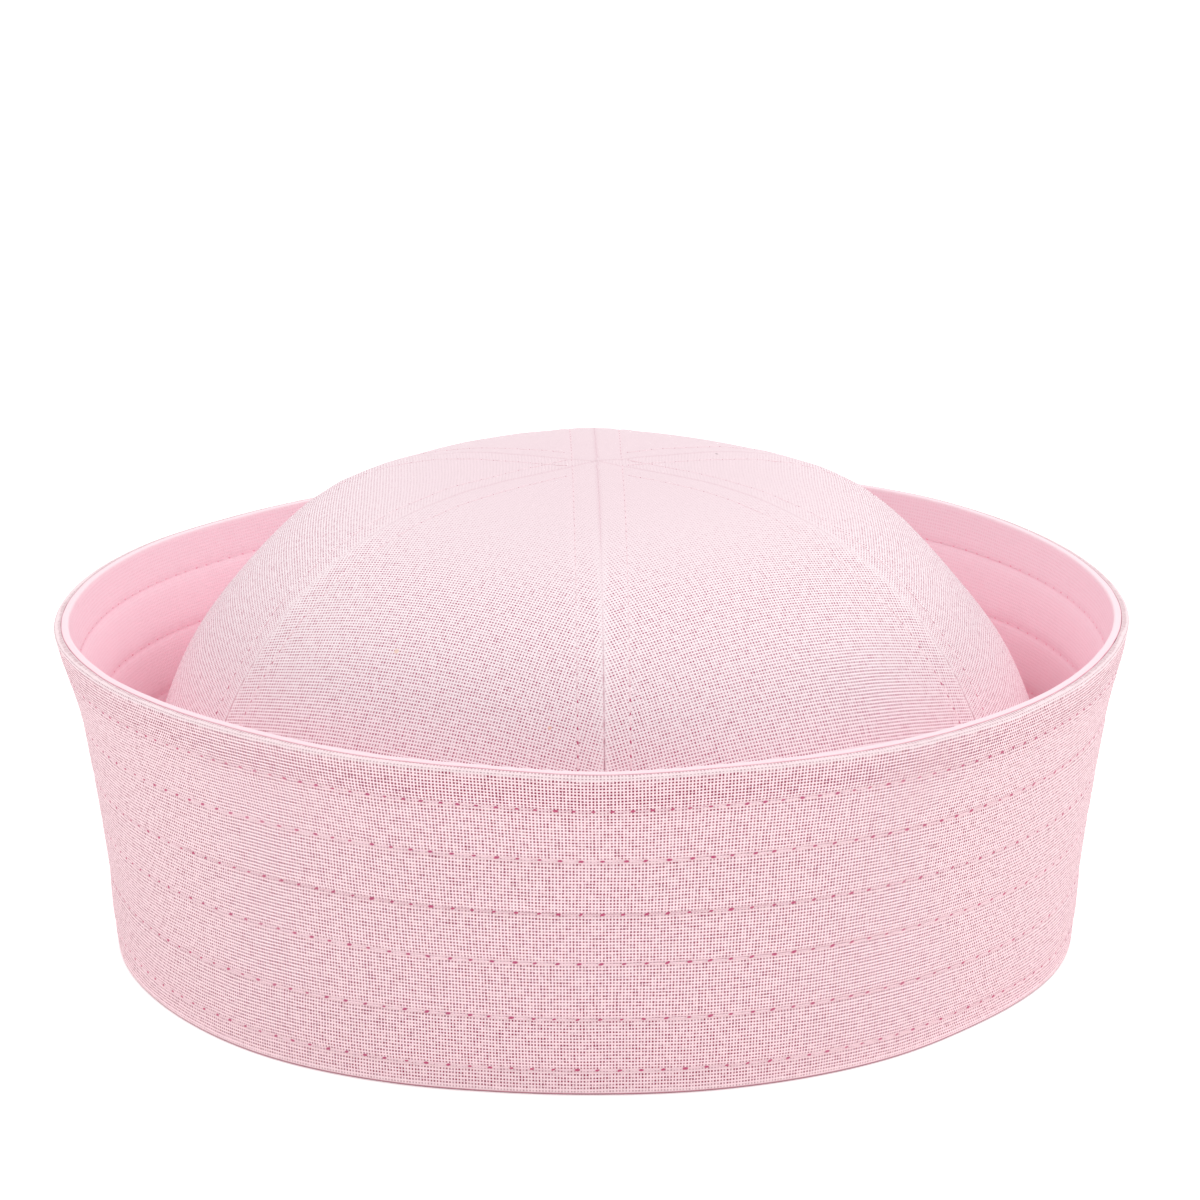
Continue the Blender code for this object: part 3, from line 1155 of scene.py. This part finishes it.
@dataclass
class Brim:
    """The turned-up brim: two plies of cloth, stitched together in six rows, folded in at the rim."""

    cotton: dict[Ply, bpy.types.Material]
    thread: bpy.types.Material
    needle_hole: dict[Ply, bpy.types.Material]
    shift: np.ndarray
    columns: int = 720
    seam: float = 91.0  # azimuth of the seam that closes the ring, at the back

    # Heights of the rows of stitching along the face of the cloth, and the length of a stitch.
    ROWS = np.array([
        (4.98, 4.10), (15.65, 4.15), (27.40, 4.10), (37.80, 4.05), (49.08, 4.05), (60.20, 3.60)
    ]) * MM
    NEAR_ROW = np.array([-3.2, -1.9, -1.1, -0.6, -0.25, 0.0, 0.25, 0.6, 1.1, 1.9, 3.2]) * MM
    SEWING = {
        Ply.OUTER: {"hole": 0.00115, "thread": 0.00025},
        Ply.INNER: {"hole": 0.00068, "thread": 0.00012},
    }
    FIRST_SEED = {Ply.OUTER: 300, Ply.INNER: 400}
    FINE_SEED = {Ply.OUTER: 17, Ply.INNER: 18}
    RIM_SHADE = {Ply.OUTER: 0.25, Ply.INNER: 0.6}  # how strong the painted shade is in the line between the two folds
    FOOT_STEPS = np.array([0.0, 0.1, 0.3, 0.6]) * MM
    FOLD_STEPS = 16
    HIDDEN_STEPS = 8
    GROOVE = 0.20 * MM  # how deep a row of stitching lies
    PULL = 0.06 * MM  # how much deeper and shallower it gets about once a stitch
    PUCKER = 0.035 * MM
    SWELL = 0.22 * MM
    UNEVEN = 0.02 * MM
    WOBBLE = 0.12 * MM  # how far a row strays up and down
    PRICKED = 0.02 * MM  # how far above the cloth the needle holes are drawn
    ROUNDING = 0.45 * MM  # radius of the cloth's turned-in edge at the foot
    SEAM_DIP = 0.35 * MM  # how deep the seam at the back lies

    def relief(self, azimuth: np.ndarray, travel: np.ndarray, side: Ply) -> np.ndarray:
        """How far the cloth stands out from the smooth form, from its rows of stitching.

        Args:
            azimuth: Azimuths in degrees.
            travel: Distances from the foot along the face.
            side: Which ply.

        Returns:
            The height of the relief at each place.
        """
        girth = math.tau * SHAPE.brim_foot
        around = azimuth / TURN * girth
        height = np.zeros(np.broadcast(azimuth, travel).shape)
        beside = np.stack(np.broadcast_arrays(around, travel * 0.3), axis=-1)
        for number, (row, pitch) in enumerate(self.ROWS):
            away = travel - row
            # The ring widens by about a tenth from its foot to its rim.
            count = round(girth * (1 + 0.1 * row / SHAPE.brim_height) / pitch)
            stitches = np.cos(np.radians(azimuth) * count + number)
            height -= bell(away, 0.9 * MM) * (self.GROOVE + self.PULL * stitches)
            puckers = ripple(beside, 20 + number, (0.005, 0.016)) * self.PUCKER
            height += bell(away, 4.0 * MM) * puckers
        place = np.stack(np.broadcast_arrays(around, travel), axis=-1)
        fine = ripple(place, self.FINE_SEED[side], (0.004, 0.012)) * self.UNEVEN
        # Both plies swell together, so what stands out on one side lies in on the other.
        swell = ripple(placed(azimuth, SHAPE.brim_foot, travel), 7, (0.035, 0.090)) * self.SWELL
        return height + fine + swell * side.sign

    def face_line(self, side: Ply) -> np.ndarray:
        """The line that a ply's showing face follows, from the foot to the rim."""
        return SHAPE.brim_line(0.0 if side is Ply.OUTER else 2 * SHAPE.brim_cloth + SHAPE.ply_gap)

    def openness_and_painted_light(self, side: Ply, travel: np.ndarray, from_seam: np.ndarray) -> dict[str, np.ndarray]:
        """How open a ply's cloth is, and where painted shade and painted highlight lie on it.

        Args:
            side: Which ply.
            travel: Distances from the foot along the cloth, by row.
            from_seam: Distances from the seam at the back, by column.

        Returns:
            The shares, by the attribute that they go in.
        """
        past_rim = travel - travel_along(self.face_line(side))[-1]
        openness = np.ones(travel.shape)
        # The weave is most open just under the rim, and packed on the rim's fold and at the foot.
        openness += 0.60 * bell(past_rim + 4.0 * MM, 2.6 * MM)
        # Painted shade: a dark line along the foot's edge where it meets the floor, and a little over the
        # rim's fold.
        fold = step_down(-past_rim, -0.3 * MM, 0.3 * MM)
        painted_shade = 0.95 * step_down(travel, 0.2 * MM, 0.6 * MM) + 0.05 * fold
        # Between the two folds, and along each row of stitching, lies a thin line of painted shade.
        painted_shade += self.RIM_SHADE[side] * step_down(-past_rim, -1.7 * MM, -1.3 * MM)
        for row, _ in self.ROWS:
            openness -= 0.35 * bell(travel - row, 0.6 * MM)
            painted_shade += 0.20 * bell(travel - row, 0.45 * MM)
        openness *= 1 - 0.5 * step_down(-past_rim, -0.5 * MM, 0.2 * MM)
        openness *= 1 - 0.7 * step_down(travel, 0.4 * MM, 1.6 * MM)
        # A painted highlight pales the rim's fold, and the cloth a little along the foot.
        highlighted = 0.1 * step_down(travel, 0.8 * MM, 1.8 * MM) + 0.4 * fold
        # Painted shade also lies along the seam at the back.
        return {
            OPENNESS: openness[:, None],
            PAINTED_SHADE: np.maximum(painted_shade[:, None], 0.3 * bell(from_seam, 0.3 * MM)),
            PALE_HIGHLIGHT: highlighted[:, None],
        }

    def face_stops(self, length: float) -> np.ndarray:
        """Places the rows of points of a ply's showing face, closest at the stitching and the ends.

        Args:
            length: The face's length from the foot to the rim.

        Returns:
            Their distances from the foot along the cloth.
        """
        near = [row + step for row, _ in self.ROWS for step in self.NEAR_ROW]
        near = np.array(sorted(stop for stop in near if 0.8 * MM < stop < length - 0.6 * MM))
        near = near[np.concatenate([[True], np.diff(near) > 0.1 * MM])]
        return np.concatenate([self.FOOT_STEPS, near, [length - 0.3 * MM, length]])

    def section(self, side: Ply) -> tuple[np.ndarray, np.ndarray, np.ndarray]:
        """The closed outline of a ply: its showing face, the fold of the rim, its hidden face.

        Args:
            side: Which ply.

        Returns:
            The outline's reaches and heights, the way that each moves when the cloth stands out,
            and the distance along the cloth from the foot.
        """
        depth = 0.0 if side is Ply.OUTER else SHAPE.brim_cloth + SHAPE.ply_gap
        outer, inner = SHAPE.brim_line(depth), SHAPE.brim_line(depth + SHAPE.brim_cloth)
        showing, hidden = (outer, inner)[:: side.sign]
        along, hidden_along = travel_along(showing), travel_along(hidden)
        stops = self.face_stops(along[-1])
        rise = unit(np.gradient(showing, axis=0))
        out = np.stack([rise[:, 1], -rise[:, 0]], axis=1) * side.sign
        face, face_out = read_line(stops, along, showing), read_line(stops, along, out)
        # At the foot the cloth is turned in to a round edge.
        inside = np.clip(self.ROUNDING - stops, 0.0, self.ROUNDING)
        face = face - face_out * (self.ROUNDING - np.sqrt(self.ROUNDING**2 - inside**2))[:, None]
        centre = (showing[-1] + hidden[-1]) / 2
        arm = showing[-1] - centre
        up = np.array([-arm[1], arm[0]]) * side.sign
        turns = np.linspace(0, math.pi, self.FOLD_STEPS + 1)[1:-1, None]
        # The fold is pressed nearly flat, and it leans on the other ply's fold.
        showing_side = np.cos(turns) >= 0
        power = np.where(showing_side, 0.6, 0.3)
        level = np.where(showing_side, 1.0, -1.22) * np.abs(np.cos(turns)) ** power
        arc = arm * level + up * np.sin(turns) ** power
        back_stops = np.linspace(1, 0, self.HIDDEN_STEPS + 1)
        back = read_line(back_stops, hidden_along / hidden_along[-1], hidden)
        outline = np.vstack([face, centre + arc, back, face[:1]])
        fold_travel = stops[-1] + turns[:, 0] * np.linalg.norm(arm)
        back_travel = fold_travel[-1] + (1 - back_stops) * along[-1]
        travel = np.concatenate([stops, fold_travel, back_travel, back_travel[-1:] + 0.001])
        # The fold and the hidden face move the way that the top of the showing face does.
        moving = np.vstack([face_out, np.tile(face_out[-1], (len(arc) + len(back), 1)), face_out[:1]])
        return outline, moving, travel

    def ply(self, side: Ply) -> bpy.types.Object:
        """Builds one ply.

        Args:
            side: Which ply.

        Returns:
            The piece.
        """
        outline, moving, along = self.section(side)
        # The outline ends where it began, so its last point takes after its first.
        travel = np.append(along[:-1], 0.0)
        azimuth = self.seam + np.linspace(0.0, TURN, self.columns + 1)[None, :]
        rim = travel_along(self.face_line(side))[-1]
        height = self.relief(azimuth, np.minimum(travel, rim)[:, None], side)
        # The relief dies away on the hidden face and towards the foot.
        height *= step_down(travel, rim + 0.003, rim + 0.012)[:, None]
        height *= step_down(-travel, -0.0040, 0.0)[:, None]
        # The two ends of the band meet at the back in a seam that is turned in.
        girth = SHAPE.brim_foot + SHAPE.brim_spread / 2
        from_seam = np.abs((azimuth - self.seam + 180) % TURN - 180) * math.radians(1) * girth
        showing = travel <= rim + 0.003
        height = height - bell(from_seam, 0.6 * MM) * self.SEAM_DIP * showing[:, None]
        reach = outline[:, :1] + moving[:, :1] * height
        rise = outline[:, 1:] + moving[:, 1:] * height
        rise[0] = rise[-1] = 0.0
        points = SHAPE.brim_point(np.broadcast_to(azimuth, reach.shape), reach, np.maximum(rise, 0.0))
        around = (azimuth - self.seam) * math.radians(1) * girth
        cloth = np.stack(np.broadcast_arrays(around, along[:, None]), axis=-1)
        sheet = lay_grid(f"{side.value}_cloth", self.columns, len(travel) - 1)
        shape_grid(sheet, points + self.shift, cloth, self.openness_and_painted_light(side, travel, from_seam))
        bpy.ops.object.mode_set(mode="EDIT")
        bpy.ops.mesh.select_all(action="SELECT")
        bpy.ops.mesh.remove_doubles(threshold=1e-6)
        bpy.ops.mesh.normals_make_consistent(inside=False)
        bpy.ops.object.mode_set(mode="OBJECT")
        finish_mesh(sheet, self.cotton[side])
        return sheet

    def stitches(self, side: Ply) -> list[StitchRow]:
        """The rows of stitching as they show on a ply's face.

        Args:
            side: Which ply.

        Returns:
            The rows, each along its path on the cloth.
        """
        line = self.face_line(side)
        along = travel_along(line)
        azimuth = self.seam + np.linspace(0.3, TURN - 0.3, 2400)
        rows = []
        around = np.radians(azimuth) * SHAPE.brim_foot
        ring = np.stack([around, np.zeros_like(around)], axis=1)
        for number, (row, pitch) in enumerate(self.ROWS):
            travel = row + ripple(ring, 60 + number, (0.03, 0.12)) * self.WOBBLE
            height = self.relief(azimuth, travel, side) + self.PRICKED
            reach, rise = read_line(travel, along, line).T
            smooth = SHAPE.brim_point(azimuth, reach, rise)
            # The flaring face looks a little down outside, and a little up inside.
            level = np.full_like(azimuth, side.sign)
            outward = unit(placed(azimuth, level, -0.15 * level))
            path = smooth + outward * height[:, None] + self.shift
            seed = self.FIRST_SEED[side] + number
            rows.append(
                StitchRow(path, outward, pitch, seed, slant=12 * side.sign, **self.SEWING[side])
            )
        return rows

    def build(self) -> None:
        """Builds both plies and their stitching."""
        for side in Ply:
            sheet = self.ply(side)
            finishes = [self.thread, self.needle_hole[side]]
            stitching = sew(f"{side.value}_stitching", self.stitches(side), finishes)
            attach(sheet, "root")
            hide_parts(side.value)
            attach(stitching, "root")
            for piece in (sheet, stitching):
                LOG.info("%s: %d faces", piece.name, len(piece.data.polygons))


@dataclass(frozen=True)
class Studio:
    """The pale floor, the soft light and the camera."""

    floor_span: float = 8.0
    floor_glow: float = 0.36
    sky_glow: float = 0.7
    camera_place: tuple[float, float, float] = (0.0016, -1.2672, 0.4461)
    camera_tilt: float = 0.28938  # downward, in radians
    lens: float = 200.0
    LAMP_WIDTH = 1.0
    LAMPS = (
        # name, place, watts
        ("left softbox", (-0.95, 0.15, 1.35), 6.2),
        ("right softbox", (0.95, 0.0, 1.35), 9.0),
    )

    def floor(self) -> None:
        """Lays the floor: matt white paper."""
        bpy.ops.object.select_all(action="DESELECT")
        bpy.ops.mesh.primitive_plane_add(size=self.floor_span)
        floor = bpy.context.object
        floor.name = "studio_floor"
        material = bpy.data.materials.new("matt white paper")
        material.use_nodes = True
        shader = material.node_tree.nodes["Principled BSDF"]
        shader.inputs["Base Color"].default_value = linear("fbfbfb")
        shader.inputs["Roughness"].default_value = 0.95
        shader.inputs["Specular IOR Level"].default_value = 0.0
        # The sheet is lit from below as well, as on a light table.
        shader.inputs["Emission Color"].default_value = (1.0, 1.0, 1.0, 1.0)
        shader.inputs["Emission Strength"].default_value = self.floor_glow
        floor.data.materials.append(material)

    def lamp(self, name: str, place: tuple[float, float, float], power: float) -> None:
        """Hangs a large soft lamp that points at the cap.

        Args:
            name: The lamp's name.
            place: Where it hangs.
            power: Its strength in watts.
        """
        bpy.ops.object.light_add(type="AREA", location=place)
        lamp = bpy.context.object
        lamp.name = name
        lamp.data.shape = "SQUARE"
        lamp.data.size = self.LAMP_WIDTH
        lamp.data.energy = power
        # It is turned to the middle of the cap.
        away = np.array(place) - (0, 0, 0.05)
        lamp.rotation_euler = (
            math.atan2(math.hypot(away[0], away[1]), away[2]), 0.0, math.atan2(away[0], -away[1])
        )

    def build(self) -> None:
        """Sets up the floor, the light and the camera."""
        self.floor()
        scene = bpy.context.scene
        scene.view_settings.view_transform = "Standard"
        # Light passes many times between the brim and the crown, and takes on their colour.
        scene.cycles.max_bounces = 16
        scene.cycles.diffuse_bounces = 12
        world = bpy.data.worlds.new("soft white surroundings")
        scene.world = world
        world.use_nodes = True
        sky = world.node_tree.nodes["Background"]
        sky.inputs["Color"].default_value = (1.0, 1.0, 1.0, 1.0)
        sky.inputs["Strength"].default_value = self.sky_glow
        for lamp in self.LAMPS:
            self.lamp(*lamp)
        bpy.ops.object.camera_add(
            location=self.camera_place, rotation=(math.pi / 2 - self.camera_tilt, 0.0, 0.0)
        )
        camera = bpy.context.object
        camera.data.lens = self.lens
        camera.data.sensor_width = 36.0
        camera.data.clip_end = 50.0
        scene.camera = camera


FLECKS = (
    Fleck((0.02484, 0.01246, 0.09563), 0.00050, "a58f93"),
    Fleck((-0.03699, -0.05687, 0.07556), 0.00065, "f6d9cb"),
    Fleck((-0.00785, -0.07656, 0.06661), 0.00050, "ecc3b6"),
)

# In the photo the threads lie about 0.56 by 0.64 mm apart. They are drawn a little coarser, so
# that the weave still shows in a picture of a thousand pixels.
# The crown, the brim and its inside are one cloth: the crown's copy is painted paler for the stronger
# light on it, and the inside copy has faint holes, painted lighter against its shade.
CROWN_COTTON = WovenCotton(
    "woven cotton of the crown", "fff1f5", "b85f7c", 0.00064, 0.00066, hole=0.87, flecks=FLECKS
)
OUTER_COTTON = WovenCotton("woven cotton of the brim", "fbdfe4", "8c1642", 0.00064, 0.00068)
INNER_COTTON = WovenCotton(
    "woven cotton inside the brim", "fddae4", "e88aa4", 0.00064, 0.00068, hole=0.12, relief=0.00003
)
CROWN_THREAD = SpunThread("spun sewing thread", "fdeaee", "f8d8df")
BRIM_THREAD = SpunThread("spun sewing thread of the brim", "f9dfe5", "f1cad4")
# The needle holes are drawn as small dark patches of painted shade, paler inside the brim.
NEEDLE_HOLE_SHADE = SpunThread("shaded cloth in the needle holes", "c8587c", "b4486c")
SOFT_HOLE_SHADE = SpunThread("shaded cloth in the needle holes inside the brim", "f4aec0", "ee9db2")


def axis_shift() -> np.ndarray:
    """Finds where the cap's axis stands, so that the brim's box is centred on the origin.

    Returns:
        The axis's place, at the floor.
    """
    azimuth = np.linspace(0.0, TURN, 1441)
    reach, height = SHAPE.brim_line(0.0)[-1]
    rim = SHAPE.brim_point(azimuth, np.full_like(azimuth, reach), np.full_like(azimuth, height))
    box_low, box_high = (np.array(corner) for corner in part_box(Ply.OUTER.value))
    middle = (box_low + box_high) / 2 - (rim.min(axis=0) + rim.max(axis=0)) / 2
    return np.array([middle[0], middle[1], 0.0])


def main() -> None:
    """Builds the cap and its surroundings, and logs where the cap's axis stands."""
    logging.basicConfig(level=logging.INFO, format="%(name)s: %(message)s")
    shift = axis_shift()
    LOG.info("axis at %.5f %.5f", shift[0], shift[1])
    crown_cotton = CROWN_COTTON.build()
    cottons = {Ply.OUTER: OUTER_COTTON.build(), Ply.INNER: INNER_COTTON.build()}
    crown_thread, brim_thread = CROWN_THREAD.build(), BRIM_THREAD.build()
    holes = {Ply.OUTER: NEEDLE_HOLE_SHADE.build(), Ply.INNER: SOFT_HOLE_SHADE.build()}
    Crown(crown_cotton, crown_thread, holes[Ply.OUTER], shift).build()
    Brim(cottons, brim_thread, holes, shift).build()
    Studio().build()


if __name__ == "__main__":
    main()
